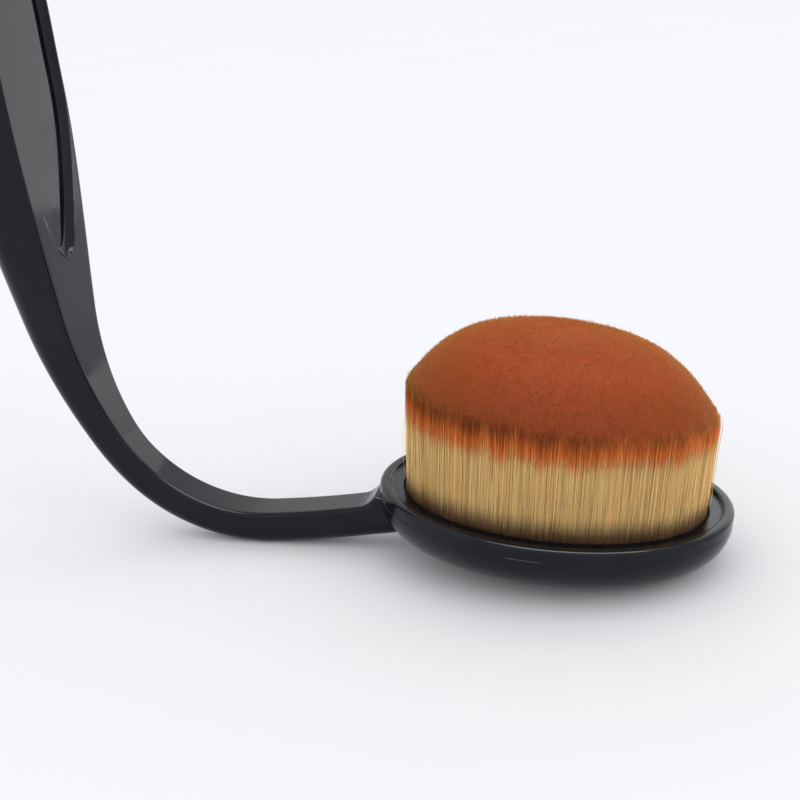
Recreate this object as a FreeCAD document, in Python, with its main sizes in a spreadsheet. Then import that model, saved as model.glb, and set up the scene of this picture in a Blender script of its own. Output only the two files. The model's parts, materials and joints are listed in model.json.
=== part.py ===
import FreeCAD, Part
import math
import os
import re
import Sketcher
from FreeCAD import Placement, Rotation, Vector

# Oval brush on a bent handle. Millimetres and degrees.
# The head is drawn flat: its back lies on the XY plane with the centre of the back at the origin, the
# tip of the head points to +X, the hair stands up along +Z and the handle leaves towards -X. Every
# piece is then turned by head_pitch about Y, tip down, which is how the brush rests: on the tip side
# of its back and on the elbow of its neck.

SIZES = [
    # the oval head: a dish with a trim ring on top
    ("head_pitch", 4.1),  # how far the head leans, tip down, when the brush rests
    ("head_length", 64.0),  # outer oval, along X
    ("head_width", 47.6),  # outer oval, along Y
    ("back_inset_ends", 10.6),  # outer oval to the flat oval land under the head
    ("back_inset_sides", 11.0),
    ("dish_height", 8.5),  # back to the top of the dish
    ("floor_thick", 4.2),  # back to the floor of the well
    ("band_height", 2.4),  # the ring's visible band, above the dish
    ("lip_width", 2.0),  # raised lip round the ring
    ("lip_rise", 0.9),  # lip above the flat land
    ("lip_round", 0.85),  # rounding of the lip's outer edge
    ("lip_inner_round", 0.45),
    ("land_thick", 1.2),  # flat land between the lip and the hair
    ("window_round", 0.3),  # rounding of the land's edge at the hair
    ("spigot_wall", 1.0),
    ("spigot_length", 1.1),
    ("spigot_gap", 0.1),  # ring's spigot to the wall of its rebate
    ("bead_thick", 0.2),  # adhesive under the spigot
    ("ledge", 1.6),  # well's edge to the rebate's wall
    # the hair block and its tray
    ("hair_inset_ends", 4.9),  # head's outer oval to the hair
    ("hair_inset_sides", 5.55),
    ("hair_gap", 0.4),  # hair to the ring's oval window
    ("hair_edge", 19.1),  # hair's outer edge above the flat land
    ("hair_crown", 12.5),  # crown above the outer edge
    ("hair_fullness", 3.5),  # the crown falls away as this power of the distance from its centre
    ("hair_flare", 0.35),  # how far the outer filaments lean out at their tips
    ("hair_slope", 2.9),  # the cut top leans down towards the tip
    ("tray_wall", 1.0),
    ("tray_floor", 1.0),
    ("tray_gap", 0.2),  # tray to the wall of the well
    ("pad_thick", 0.25),  # adhesive under the tray
    ("bond_thick", 1.5),  # resin round the roots
    # the spine of neck and handle: five spans, each of even curvature
    ("neck_inset", 0.7),  # spine's start, inside the head's outer oval
    ("neck_level", 2.324),  # spine's start, above the back
    ("neck_angle", -14.6),  # spine's first direction: below level
    ("neck_root", 7.0),  # how far the neck reaches into the dish
    ("neck_run", 21.9),
    ("neck_bend", 6.2),
    ("elbow_run", 37.7),
    ("elbow_bend", 65.6),
    ("rise_run", 25.8),
    ("rise_bend", 21.0),
    ("grip_run", 59.0),
    ("grip_bend", 5.1),
    ("tail_run", 33.6),
    ("tail_bend", -13.3),
    # sections across the spine
    ("neck_width", 7.9),
    ("neck_thick", 6.6),
    ("flange_width", 8.4),  # where the neck runs out into the dish
    ("flange_clear", 0.8),  # top of this flange to the top of the dish
    ("flange_run", 4.0),
    ("root_share", 0.45),  # thickness left at the neck's end inside the dish
    ("flare_lead", 8.1),  # the neck starts to widen, before the elbow's end
    ("flare_run", 74.5),  # then the grip has its full section
    ("tail_delay", 10.0),  # full section before the grip starts to narrow
    ("grip_width", 23.6),
    ("grip_thick", 13.1),
    ("tail_width", 20.6),
    ("tail_thick", 9.8),
    ("tail_edge", 0.35),  # thickness left at the rounded tip, as a share
    ("front_round", 0.9),  # crisp edges of the front face
    ("back_round", 0.42),  # rounding of the back edges, as a share of the thickness
    ("tip_round", 0.3),  # rounding left at the tip, as a share
    # the thumb scoop in the front of the grip
    ("scoop_delay", 44.0),  # its lower end, after the start of the flare
    ("scoop_clear", 10.0),  # its upper end to the end of the handle
    ("scoop_nose", 3.4),  # radius of its lower end
    ("scoop_spread", 30.0),  # length over which it opens out
    ("scoop_land", 1.0),  # front face left beside it
    ("scoop_depth", 1.4),
    ("scoop_corner", 0.8),  # rounding along its floor
    ("scoop_mouth", 0.05),  # rounding of the cutter, outside the handle
]

doc = FreeCAD.newDocument("oval_brush")
sheet = doc.addObject("Spreadsheet::Sheet", "sizes")
for row, (alias, value) in enumerate(SIZES, start=1):
    sheet.set(f"A{row}", alias)
    sheet.set(f"B{row}", str(value))
    sheet.setAlias(f"B{row}", alias)
doc.recompute()


def size(alias):
    return float(sheet.get(alias))


def named(formula):
    """A formula in aliases, such as head_length / 2, as an expression that reads the sheet."""
    known = {alias for alias, _ in SIZES}
    return re.sub("[a-z_]+", lambda word: f"sizes.{word[0]}" if word[0] in known else word[0], formula)


CUT_CLEAR = 0.5  # how far outside the solid a cut begins

# Levels and ovals that several pieces share, as formulas of the named sizes.
BACK_LENGTH = "(head_length - 2 * back_inset_ends)"
BACK_WIDTH = "(head_width - 2 * back_inset_sides)"
HAIR_LENGTH = "(head_length - 2 * hair_inset_ends)"
HAIR_WIDTH = "(head_width - 2 * hair_inset_sides)"
HEAD_TOP = "(dish_height + band_height)"
LAND_TOP = f"({HEAD_TOP} - lip_rise)"
LAND_UNDER = f"({LAND_TOP} - land_thick)"
TRAY_UNDER = "(floor_thick + pad_thick)"
BOND_UNDER = f"({TRAY_UNDER} + tray_floor)"
HAIR_UNDER = f"({BOND_UNDER} + bond_thick)"
REBATE_FLOOR = "(dish_height - spigot_length - bead_thick)"
TRAY_MARGIN = "2 * tray_wall"
WELL_MARGIN = "2 * (tray_wall + tray_gap)"
REBATE_MARGIN = "2 * (tray_wall + tray_gap + ledge)"
SPIGOT_MARGIN = "2 * (tray_wall + tray_gap + ledge - spigot_gap)"
SPIGOT_BORE_MARGIN = "2 * (tray_wall + tray_gap + ledge - spigot_gap - spigot_wall)"


def new_body(label):
    body = doc.addObject("PartDesign::Body", label)
    body.Label = label
    return body


def origin_plane(body, role):
    return next(item for item in body.Origin.OriginFeatures if item.Role == role)


def blank_sketch(body, name, role, offset):
    sketch = body.newObject("Sketcher::SketchObject", name)
    sketch.AttachmentSupport = [(origin_plane(body, role), "")]
    sketch.MapMode = "FlatFace"
    sketch.AttachmentOffset = offset
    return sketch


def oval(body, name, level, length, width, lean=0.0):
    """An ellipse centred over the origin; level, length and width are formulas."""
    sketch = blank_sketch(body, name, "XY_Plane", Placement(Vector(), Rotation(Vector(0, 1, 0), lean)))
    sketch.setExpression("AttachmentOffset.Base.z", named(level))
    sketch.addGeometry(Part.Ellipse(Vector(), 20, 10), False)
    sketch.exposeInternalGeometry(0)
    long_axis, short_axis = 1, 2
    sketch.addConstraint(Sketcher.Constraint("Coincident", 0, 3, -1, 1))
    sketch.addConstraint(Sketcher.Constraint("Horizontal", long_axis))
    for line, kind, formula in ((long_axis, "DistanceX", length), (short_axis, "DistanceY", width)):
        place = sketch.addConstraint(Sketcher.Constraint(kind, line, 2, line, 1, 20.0 if line == 1 else 10.0))
        sketch.setExpression(f"Constraints[{place}]", named(formula))
    return sketch


def hair_oval(body, name, level, margin="0"):
    """The hair block's own oval, grown all round by half of margin."""
    return oval(body, name, level, f"{HAIR_LENGTH} + {margin}", f"{HAIR_WIDTH} + {margin}")


def loft(body, name, sketches, cut=False, straight=False):
    feature = body.newObject("PartDesign::SubtractiveLoft" if cut else "PartDesign::AdditiveLoft", name)
    feature.Profile = sketches[0]
    feature.Sections = sketches[1:]
    feature.Ruled = straight
    doc.recompute()
    return feature


def pad(body, name, sketch, length):
    feature = body.newObject("PartDesign::Pad", name)
    feature.Profile = sketch
    feature.setExpression("Length", named(length))
    doc.recompute()
    return feature


def pocket(body, name, sketch, depth):
    """Cuts downwards from the sketch's plane."""
    before = body.Shape.Volume
    feature = body.newObject("PartDesign::Pocket", name)
    feature.Profile = sketch
    feature.setExpression("Length", named(depth))
    doc.recompute()
    if body.Shape.Volume >= before - 1e-6:
        raise RuntimeError(f"{name} cuts nothing")
    return feature


def round_edges(body, name, radius, level, length):
    """Fillets the oval edge that lies at the given level and has the given length along X."""
    base = body.Tip
    found = []
    for number, edge in enumerate(base.Shape.Edges, start=1):
        box = edge.BoundBox
        if box.ZLength < 1e-3 and abs(box.ZMin - level) < 1e-3 and abs(box.XLength - length) < 0.05:
            found.append(f"Edge{number}")
    if not found:
        raise RuntimeError(f"{name} finds no edge")
    feature = body.newObject("PartDesign::Fillet", name)
    feature.Base = (base, found)
    feature.setExpression("Radius", named(radius))
    doc.recompute()
    return feature


# ---- the spine ----

SPANS = ["neck", "elbow", "rise", "grip", "tail"]


def spine(along):
    """Place and direction at a distance along the spine: X, Z and the angle above level, in degrees.
    Before its start the spine runs straight back into the dish."""
    place_x = size("neck_inset") - size("head_length") / 2
    place_z = size("neck_level")
    angle = math.radians(size("neck_angle"))
    if along < 0:
        return place_x - along * math.cos(angle), place_z + along * math.sin(angle), math.degrees(angle)
    for span in SPANS:
        run = size(span + "_run")
        bend = math.radians(size(span + "_bend"))
        part = run if span == SPANS[-1] else min(run, along)
        part = min(part, along)
        radius = run / bend
        turned = angle + part / radius
        place_x -= radius * (math.sin(turned) - math.sin(angle))
        place_z -= radius * (math.cos(turned) - math.cos(angle))
        angle = turned
        along -= part
        if along <= 1e-9:
            break
    return place_x, place_z, math.degrees(angle)


def spine_length():
    return sum(size(span + "_run") for span in SPANS)


def flare_start():
    return size("neck_run") + size("elbow_run") - size("flare_lead")


def flare_end():
    return flare_start() + size("flare_run")


def tail_start():
    return flare_end() + size("tail_delay")


def scoop_start():
    return flare_start() + size("scoop_delay")


def scoop_end():
    return spine_length() - size("scoop_clear")


def ease(fraction):
    """Smooth step from 0 to 1."""
    fraction = min(max(fraction, 0.0), 1.0)
    return fraction * fraction * (3 - 2 * fraction)


def settle(fraction):
    """Rises from 0, fast at first, and comes level at 1."""
    fraction = min(max(fraction, 0.0), 1.0)
    return 1 - (1 - fraction) ** 2


def section(body, name, along, width, front, back, front_radius, back_radius):
    """A rounded box across the spine: width along Y, front and back measured from the spine. Sizes are
    formulas. The front corners have one radius and the back corners another."""
    place_x, place_z, angle = spine(along)
    offset = Placement(Vector(0, place_z, place_x), Rotation(Vector(1, 0, 0), angle))
    sketch = blank_sketch(body, name, "YZ_Plane", offset)
    half, top, low, r_top, r_low = 5.0, 3.0, -3.0, 0.9, 1.2  # starting shape, before its sizes are set
    points = [
        (-half + r_top, top), (half - r_top, top), (half, top - r_top), (half, low + r_low),
        (half - r_low, low), (-half + r_low, low), (-half, low + r_low), (-half, top - r_top),
    ]
    centres = [(half - r_top, top - r_top, r_top, 0), (half - r_low, low + r_low, r_low, 270),
               (-half + r_low, low + r_low, r_low, 180), (-half + r_top, top - r_top, r_top, 90)]
    lines = []
    arcs = []
    for corner in range(4):
        start, end = points[2 * corner], points[2 * corner + 1]
        lines.append(sketch.addGeometry(Part.LineSegment(Vector(*start, 0), Vector(*end, 0)), False))
        x, y, radius, first = centres[corner]
        circle = Part.Circle(Vector(x, y, 0), Vector(0, 0, 1), radius)
        arc = Part.ArcOfCircle(circle, math.radians(first), math.radians(first + 90))
        arcs.append(sketch.addGeometry(arc, False))
    for corner in range(4):
        following = (corner + 1) % 4
        # each arc runs anticlockwise, so it ends on the line before it and starts on the line after it
        sketch.addConstraint(Sketcher.Constraint("Tangent", lines[corner], 2, arcs[corner], 2))
        sketch.addConstraint(Sketcher.Constraint("Tangent", arcs[corner], 1, lines[following], 1))
    front_line, right_line, back_line, left_line = lines
    sketch.addConstraint(Sketcher.Constraint("Horizontal", front_line))
    sketch.addConstraint(Sketcher.Constraint("Horizontal", back_line))
    sketch.addConstraint(Sketcher.Constraint("Vertical", right_line))
    sketch.addConstraint(Sketcher.Constraint("Vertical", left_line))
    sketch.addConstraint(Sketcher.Constraint("Equal", arcs[0], arcs[3]))
    sketch.addConstraint(Sketcher.Constraint("Equal", arcs[1], arcs[2]))
    sized = [
        ("Radius", (arcs[0],), front_radius, r_top),
        ("Radius", (arcs[1],), back_radius, r_low),
        ("DistanceX", (left_line, 1, right_line, 2), width, 2 * half),
        ("DistanceX", (-1, 1, right_line, 2), f"{width} / 2", half),
        ("DistanceY", (-1, 1, front_line, 1), front, top),
        ("DistanceY", (back_line, 1, -1, 1), back, -low),
    ]
    for kind, places, formula, start_value in sized:
        number = sketch.addConstraint(Sketcher.Constraint(kind, *places, start_value))
        sketch.setExpression(f"Constraints[{number}]", named(formula))
    return sketch


def between(first, second, share):
    return f"({first} + ({second} - {first}) * {share:.4f})"


def girth(along):
    """Formulas for the handle's width, and its thickness, at a distance along the spine."""
    flared = ease((along - flare_start()) / size("flare_run"))
    tailed = ease((along - tail_start()) / (spine_length() - tail_start()))
    width = between(between("neck_width", "grip_width", flared), "tail_width", tailed)
    thick = between(between("neck_thick", "grip_thick", flared), "tail_thick", tailed)
    return width, thick


def handle_section(body, name, along):
    width, thick = girth(along)
    out_share = 0.0
    if along < size("flange_run"):
        out_share = (1 - max(along, 0.0) / size("flange_run")) ** 2
    width = between(width, "flange_width", out_share)
    front = between(f"{thick} / 2", "(dish_height - flange_clear - neck_level)", out_share)
    # inside the dish the neck thins from its front, so that it stays under the trim ring
    sunk = max(0.0, -along) / size("neck_root")
    front = f"({front} * {1 - sunk * (1 - size('root_share')):.4f})"
    # the tail is rounded off: its last stretch shrinks as a quarter ellipse does
    blunt = 1.0
    past = along - (spine_length() - size("tail_width") / 2)
    if past > 0:
        blunt = math.sqrt(max(0.0, 1 - (past / (size("tail_width") / 2)) ** 2))
    thin = size("tail_edge") + (1 - size("tail_edge")) * math.sqrt(blunt)
    corner_share = thin * max(blunt, size("tip_round"))
    front, back = f"({front} * {thin:.4f})", f"({thick} / 2 * {thin:.4f})"
    width = f"({width} * {blunt:.4f})"
    front_radius = f"(front_round * {corner_share:.4f})"
    back_radius = f"({thick} * back_round * {corner_share:.4f})"
    return section(body, name, along, width, front, back, front_radius, back_radius)


def scoop_half_width(along):
    """Formula for half the scoop's width: a round nose, an opening stretch, then an even land beside
    it, and a round end. The second value is the share of its full depth, which fades at both ends."""
    from_start = along - scoop_start()
    nose = size("scoop_nose")
    width, _ = girth(along)
    opened = settle((from_start - 0.5 * nose) / size("scoop_spread"))
    opening = between("scoop_nose", f"({width} / 2 - scoop_land)", opened)
    nose_share = math.sqrt(1 - max(0.0, 1 - from_start / nose) ** 2)
    end_share = math.sqrt(1 - max(0.0, 1 - (scoop_end() - along) / scoop_end_round()) ** 2)
    depth_share = min(nose_share, end_share * scoop_end_round() / nose, 1.0)
    return f"({opening} * {nose_share * end_share:.5f})", depth_share


def scoop_end_round():
    return size("tail_width") / 2 - size("scoop_land")


def scoop_section(body, name, along):
    _, thick = girth(along)
    half, depth_share = scoop_half_width(along)
    depth = f"(scoop_depth * {depth_share:.4f})"
    front = f"({thick} / 2 + {CUT_CLEAR})"
    back = f"({depth} - {thick} / 2)"
    return section(body, name, along, f"2 * {half}", front, back, "scoop_mouth",
                   f"scoop_corner * {depth_share:.4f}")


def evenly(first, last, count):
    return [first + (last - first) * step / count for step in range(count + 1)]


def rounding(centre, reach):
    """Stations along a rounded end, closer together towards its tip."""
    return [centre + reach * math.sin(math.radians(turn)) for turn in (0, 14, 28, 42, 56, 68, 78)]


def arm_run(body, name, make_section, stations, cut=False, straight=False):
    """One loft along the spine, through a section at each station."""
    before = body.Shape.Volume
    sketches = [make_section(body, f"{name}_{step}", along) for step, along in enumerate(stations)]
    feature = loft(body, name, sketches, cut=cut, straight=straight)
    change = body.Shape.Volume - before
    if (change >= 0) if cut else (change <= 0):
        raise RuntimeError(f"{name} changes the handle by {change:.1f} mm3")
    return feature


# ---- handle: grip, neck and dish in one moulding ----


def make_handle():
    body = new_body("handle")
    bowl = []
    for step, turn in enumerate((0, 20, 40, 58, 75, 90)):
        level = f"dish_height * {1 - math.cos(math.radians(turn)):.4f}"
        share = math.sin(math.radians(turn))
        length = between(BACK_LENGTH, "head_length", share)
        width = between(BACK_WIDTH, "head_width", share)
        bowl.append(oval(body, f"dish_oval_{step}", level, length, width))
    loft(body, "dish", bowl)
    tail_round = size("tail_width") / 2
    arm_end = spine_length() - tail_round
    flange = size("flange_run")
    arm_run(body, "neck_root_run", handle_section, [-size("neck_root"), 0.0], straight=True)
    arm_run(body, "neck_flange", handle_section, evenly(0.0, flange, 3))
    arm_run(body, "handle_arm", handle_section, evenly(flange, arm_end, 20))
    arm_run(body, "handle_tail", handle_section, rounding(arm_end, tail_round))
    nose = size("scoop_nose")
    nose_centre = scoop_start() + nose
    end_round = scoop_end_round()
    end_centre = scoop_end() - end_round
    arm_run(body, "scoop_nose_cut", scoop_section, rounding(nose_centre, -nose), cut=True)
    arm_run(body, "scoop_cut", scoop_section, evenly(nose_centre, end_centre, 12), cut=True)
    arm_run(body, "scoop_end_cut", scoop_section, rounding(end_centre, end_round), cut=True)
    mouth = f"dish_height + {CUT_CLEAR}"
    pocket(body, "well", hair_oval(body, "well_oval", mouth, WELL_MARGIN), f"{mouth} - floor_thick")
    pocket(body, "rebate", hair_oval(body, "rebate_oval", mouth, REBATE_MARGIN), f"{mouth} - {REBATE_FLOOR}")
    return body


def make_bezel():
    """Trim ring: an oval band with a raised lip, a flat land inside it, and a spigot under it."""
    body = new_body("head_bezel")
    outer = oval(body, "band_oval", "dish_height", "head_length", "head_width")
    pad(body, "band", outer, "band_height")
    inner = oval(body, "land_oval", HEAD_TOP, "head_length - 2 * lip_width", "head_width - 2 * lip_width")
    pocket(body, "lip_step", inner, "lip_rise")
    under = hair_oval(body, "relief_oval", LAND_UNDER, SPIGOT_BORE_MARGIN)
    pocket(body, "relief", under, f"{LAND_UNDER} - dish_height")
    window = hair_oval(body, "window_oval", LAND_TOP, "2 * hair_gap")
    pocket(body, "window", window, f"{LAND_TOP} - dish_height")
    spigot_outer = hair_oval(body, "spigot_oval", "dish_height - spigot_length", SPIGOT_MARGIN)
    pad(body, "spigot", spigot_outer, f"{LAND_UNDER} - dish_height + spigot_length")
    spigot_inner = hair_oval(body, "spigot_bore_oval", LAND_UNDER, SPIGOT_BORE_MARGIN)
    pocket(body, "spigot_bore", spigot_inner, f"{LAND_UNDER} - dish_height + spigot_length")
    top = size("dish_height") + size("band_height")
    round_edges(body, "lip_outer_edge", "lip_round", top, size("head_length"))
    inner_length = size("head_length") - 2 * size("lip_width")
    round_edges(body, "lip_inner_edge", "lip_inner_round", top, inner_length)
    round_edges(body, "window_edge", "window_round", top - size("lip_rise"),
                size("head_length") - 2 * size("hair_inset_ends") + 2 * size("hair_gap"))
    return body


def make_bezel_adhesive():
    body = new_body("bezel_adhesive")
    pad(body, "bead", hair_oval(body, "bead_oval", REBATE_FLOOR, SPIGOT_MARGIN), "bead_thick")
    bore = hair_oval(body, "bead_bore_oval", f"{REBATE_FLOOR} + bead_thick", SPIGOT_BORE_MARGIN)
    pocket(body, "bead_bore", bore, "bead_thick")
    return body


def make_tray():
    """Oval cup that holds the hair block; its rim is level with the top of the dish."""
    body = new_body("hair_tray")
    pad(body, "cup", hair_oval(body, "cup_oval", TRAY_UNDER, TRAY_MARGIN), f"dish_height - {TRAY_UNDER}")
    pocket(body, "cup_hollow", hair_oval(body, "hollow_oval", "dish_height"), f"dish_height - {BOND_UNDER}")
    return body


def make_slab(label, under, thick, margin="0"):
    """A flat oval layer with the hair block's outline."""
    body = new_body(label)
    pad(body, "layer", hair_oval(body, "layer_oval", under, margin), thick)
    return body


def make_hair():
    """The block of filaments: straight sides from the roots to the outer edge, and a crowned top that
    leans down towards the tip."""
    body = new_body("hair_bundle")
    lean = size("hair_slope")
    edge = f"{LAND_TOP} + hair_edge"
    grown = (f"{HAIR_LENGTH} + 2 * hair_flare", f"{HAIR_WIDTH} + 2 * hair_flare")
    root = hair_oval(body, "root_oval", HAIR_UNDER)
    mouth = hair_oval(body, "mouth_oval", LAND_TOP)
    pad(body, "roots", root, f"{LAND_TOP} - {HAIR_UNDER}")
    shoulder = oval(body, "shoulder_oval", edge, *grown, lean=lean)
    loft(body, "sides", [mouth, shoulder], straight=True)
    fullness = size("hair_fullness")
    crown = []
    for step, share in enumerate((1.0, 0.97, 0.91, 0.82, 0.68, 0.5, 0.28)):
        level = f"{edge} + hair_crown * {1 - share ** fullness:.4f}"
        length, width = (f"({formula}) * {share}" for formula in grown)
        crown.append(oval(body, f"crown_oval_{step}", level, length, width, lean=lean))
    loft(body, "crown", crown)
    return body


pieces = [
    make_handle(),
    make_bezel(),
    make_bezel_adhesive(),
    make_tray(),
    make_slab("tray_adhesive", "floor_thick", "pad_thick"),
    make_slab("root_bond", BOND_UNDER, "bond_thick"),
    make_hair(),
]
for piece in pieces:
    piece.Placement = Placement(Vector(), Rotation(Vector(0, 1, 0), 1.0))
    piece.setExpression("Placement.Rotation.Angle", named("head_pitch"))
doc.recompute()

for item in doc.Objects:
    if "Invalid" in item.State or "Error" in item.State:
        raise RuntimeError(f"{item.Name} failed: {item.State}")
for piece in pieces:
    shape = piece.Shape
    if shape.isNull() or not shape.isValid() or len(shape.Solids) != 1:
        raise RuntimeError(f"{piece.Label} is not one valid solid")

os.makedirs("parts", exist_ok=True)
for piece in pieces:
    piece.Shape.exportStep(f"parts/{piece.Label}.step")
    box = piece.Shape.BoundBox
    print(f"{piece.Label}: {piece.Shape.Volume:.0f} mm3, X {box.XMin:.1f} to {box.XMax:.1f}, "
          f"Y {box.YMin:.1f} to {box.YMax:.1f}, Z {box.ZMin:.2f} to {box.ZMax:.1f}")
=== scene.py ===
import json
import math

import bpy
import numpy as np
from bpy.props import FloatProperty, FloatVectorProperty, IntProperty, PointerProperty
from mathutils import Matrix, Vector


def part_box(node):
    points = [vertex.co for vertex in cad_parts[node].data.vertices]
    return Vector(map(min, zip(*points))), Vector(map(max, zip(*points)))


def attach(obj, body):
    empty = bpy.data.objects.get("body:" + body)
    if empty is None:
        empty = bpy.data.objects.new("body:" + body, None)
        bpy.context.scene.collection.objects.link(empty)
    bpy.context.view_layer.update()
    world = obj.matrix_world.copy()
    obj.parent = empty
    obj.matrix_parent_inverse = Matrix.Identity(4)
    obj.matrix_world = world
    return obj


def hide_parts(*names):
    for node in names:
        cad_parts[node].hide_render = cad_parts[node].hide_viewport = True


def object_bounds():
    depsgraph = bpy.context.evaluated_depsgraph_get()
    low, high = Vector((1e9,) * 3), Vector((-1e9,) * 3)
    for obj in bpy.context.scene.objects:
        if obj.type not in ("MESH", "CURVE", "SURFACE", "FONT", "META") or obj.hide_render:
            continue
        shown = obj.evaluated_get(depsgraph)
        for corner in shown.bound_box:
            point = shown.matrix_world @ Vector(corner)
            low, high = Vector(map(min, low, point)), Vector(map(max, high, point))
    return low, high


bl_info = {
    "name": "Oval Brush",
    "version": (1, 0, 0),
    "blender": (4, 5, 0),
    "location": "View3D > Sidebar > Oval Brush",
    "description": "Builds an oval-headed brush: moulded handle, lip ring, dense two-tone hair and a studio",
    "category": "Add Mesh",
}

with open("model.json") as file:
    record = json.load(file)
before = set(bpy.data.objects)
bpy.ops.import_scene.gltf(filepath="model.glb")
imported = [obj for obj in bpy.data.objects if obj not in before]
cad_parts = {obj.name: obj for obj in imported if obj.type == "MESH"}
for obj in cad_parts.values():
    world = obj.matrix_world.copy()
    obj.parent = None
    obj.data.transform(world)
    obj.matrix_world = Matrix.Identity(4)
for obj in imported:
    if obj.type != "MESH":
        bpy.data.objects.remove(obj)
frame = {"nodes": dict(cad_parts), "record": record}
CAD_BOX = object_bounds()

# The head leans, tip down, by the angle between its back's mount axis and straight down.
BACK_AXIS = next(m for m in frame["record"]["mounts"] if m["name"] == "head_back")["axis"]
LEAN = math.atan2(-BACK_AXIS[0], -BACK_AXIS[2])
FLOOR_LEVEL = CAD_BOX[0].z


def width_across(node):
    """A node's whole size across the head, along Y, which the lean doesn't change."""
    low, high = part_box(node)
    return high.y - low.y


# ---- sizes and colours that a user would change ----


def length(name, description, default):
    return FloatProperty(name=name, description=description, default=default, unit="LENGTH", precision=5)


def angle(name, description, degrees):
    return FloatProperty(name=name, description=description, default=math.radians(degrees), unit="ROTATION")


def share(name, description, default):
    return FloatProperty(name=name, description=description, default=default, min=0.0, subtype="FACTOR")


def count_of(name, description, default):
    return IntProperty(name=name, description=description, default=default)


def colour(name, description, default):
    return FloatVectorProperty(
        name=name, description=description, default=default, subtype="COLOR", size=3, min=0.0, max=1.0
    )


class HeadSizes(bpy.types.PropertyGroup):
    length: length("Length", "Outer oval along the head", 0.064)
    width: length("Width", "Outer oval across the head", width_across("head_bezel"))
    back_length: length("Back length", "Flat oval land under the head", 0.0428)
    back_width: length("Back width", "Flat oval land under the head", 0.0256)
    dish_height: length("Dish height", "Back to the top of the dish", 0.0085)
    well_floor: length("Well floor", "Back to the floor of the well", 0.0042)
    well_margin: length("Well margin", "Hair to the wall of the well", 0.0012)
    rebate_margin: length("Rebate margin", "Hair to the wall of the rebate", 0.0028)
    rebate_depth: length("Rebate depth", "Top of the dish to the rebate's floor", 0.0013)
    band_height: length("Band height", "The ring above the dish", 0.0024)
    lip_width: length("Lip width", "Raised lip round the ring", 0.0020)
    lip_rise: length("Lip rise", "Lip above the flat land", 0.0009)
    lip_round: length("Lip rounding", "Rounding of the lip's outer edge", 0.00085)
    land_thick: length("Land thickness", "Flat land between lip and hair", 0.0012)
    window_gap: length("Window gap", "Ring's window to the hair", 0.0004)
    spigot_gap: length("Spigot gap", "Spigot to the wall of its rebate", 0.0001)
    spigot_wall: length("Spigot wall", "Thickness of the ring's spigot", 0.0010)
    spigot_length: length("Spigot length", "Spigot below the top of the dish", 0.0011)
    seam_bevel: length("Seam bevel", "Broken edge on both sides of the seam", 0.00006)


class HandleSizes(bpy.types.PropertyGroup):
    inset: length("Inset", "Spine's start inside the head's outer oval", 0.0007)
    level: length("Level", "Spine's start above the back", 0.002324)
    start_angle: angle("Start angle", "Spine's first direction above level", -14.6)
    root: length("Root", "How far the neck reaches into the dish", 0.007)
    neck_run: length("Neck run", "First span of the spine", 0.0219)
    neck_bend: angle("Neck bend", "Turn of the first span", 6.2)
    elbow_run: length("Elbow run", "Second span of the spine", 0.0377)
    elbow_bend: angle("Elbow bend", "Turn of the second span", 65.6)
    rise_run: length("Rise run", "Third span of the spine", 0.0258)
    rise_bend: angle("Rise bend", "Turn of the third span", 21.0)
    grip_run: length("Grip run", "Fourth span of the spine", 0.059)
    grip_bend: angle("Grip bend", "Turn of the fourth span", 5.1)
    tail_run: length("Tail run", "Last span of the spine", 0.0336)
    tail_bend: angle("Tail bend", "Turn of the last span", -13.3)
    neck_width: length("Neck width", "Across the neck", 0.0079)
    neck_thick: length("Neck thickness", "Front to back of the neck", 0.0066)
    flange_width: length("Flange width", "Neck where it runs into the dish", 0.0084)
    flange_rise: length("Flange rise", "Concave sweep from the neck up to the dish's top", 0.00208)
    flange_run: length("Flange run", "Length of that sweep", 0.0040)
    root_share: share("Root share", "Front half of the thickness left inside the dish", 0.45)
    flare_start: length("Flare start", "Where the neck starts to widen", 0.0515)
    flare_end: length("Flare end", "Where the grip has its full section", 0.126)
    grip_width: length("Grip width", "Across the grip", 0.0236)
    grip_thick: length("Grip thickness", "Front to back of the grip", 0.0131)
    tail_start: length("Tail start", "Where the grip starts to narrow", 0.136)
    tail_width: length("Tail width", "Across the tail", 0.0206)
    tail_thick: length("Tail thickness", "Front to back of the tail", 0.0098)
    edge_round: length("Edge rounding", "Crisp front edges of the neck", 0.0009)
    rolled_width: length("Rolled width", "Soft front edges of the grip, across", 0.0007)
    rolled_depth: length("Rolled depth", "Soft front edges of the grip, front to back", 0.0028)
    back_round: share("Back rounding", "Back edges, as a share of the thickness", 0.42)
    scoop_start: length("Scoop start", "Lower end of the thumb scoop", 0.0955)
    scoop_end: length("Scoop end", "Upper end of the thumb scoop", 0.168)
    scoop_nose: length("Scoop nose", "Radius of its lower end", 0.0034)
    scoop_spread: length("Scoop spread", "Length over which it opens out", 0.030)
    scoop_land: length("Scoop land", "Front face beside it", 0.0010)
    scoop_depth: length("Scoop depth", "Depth of its floor", 0.0014)
    scoop_wall: length("Scoop wall", "Run of its curved wall", 0.0010)


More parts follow.
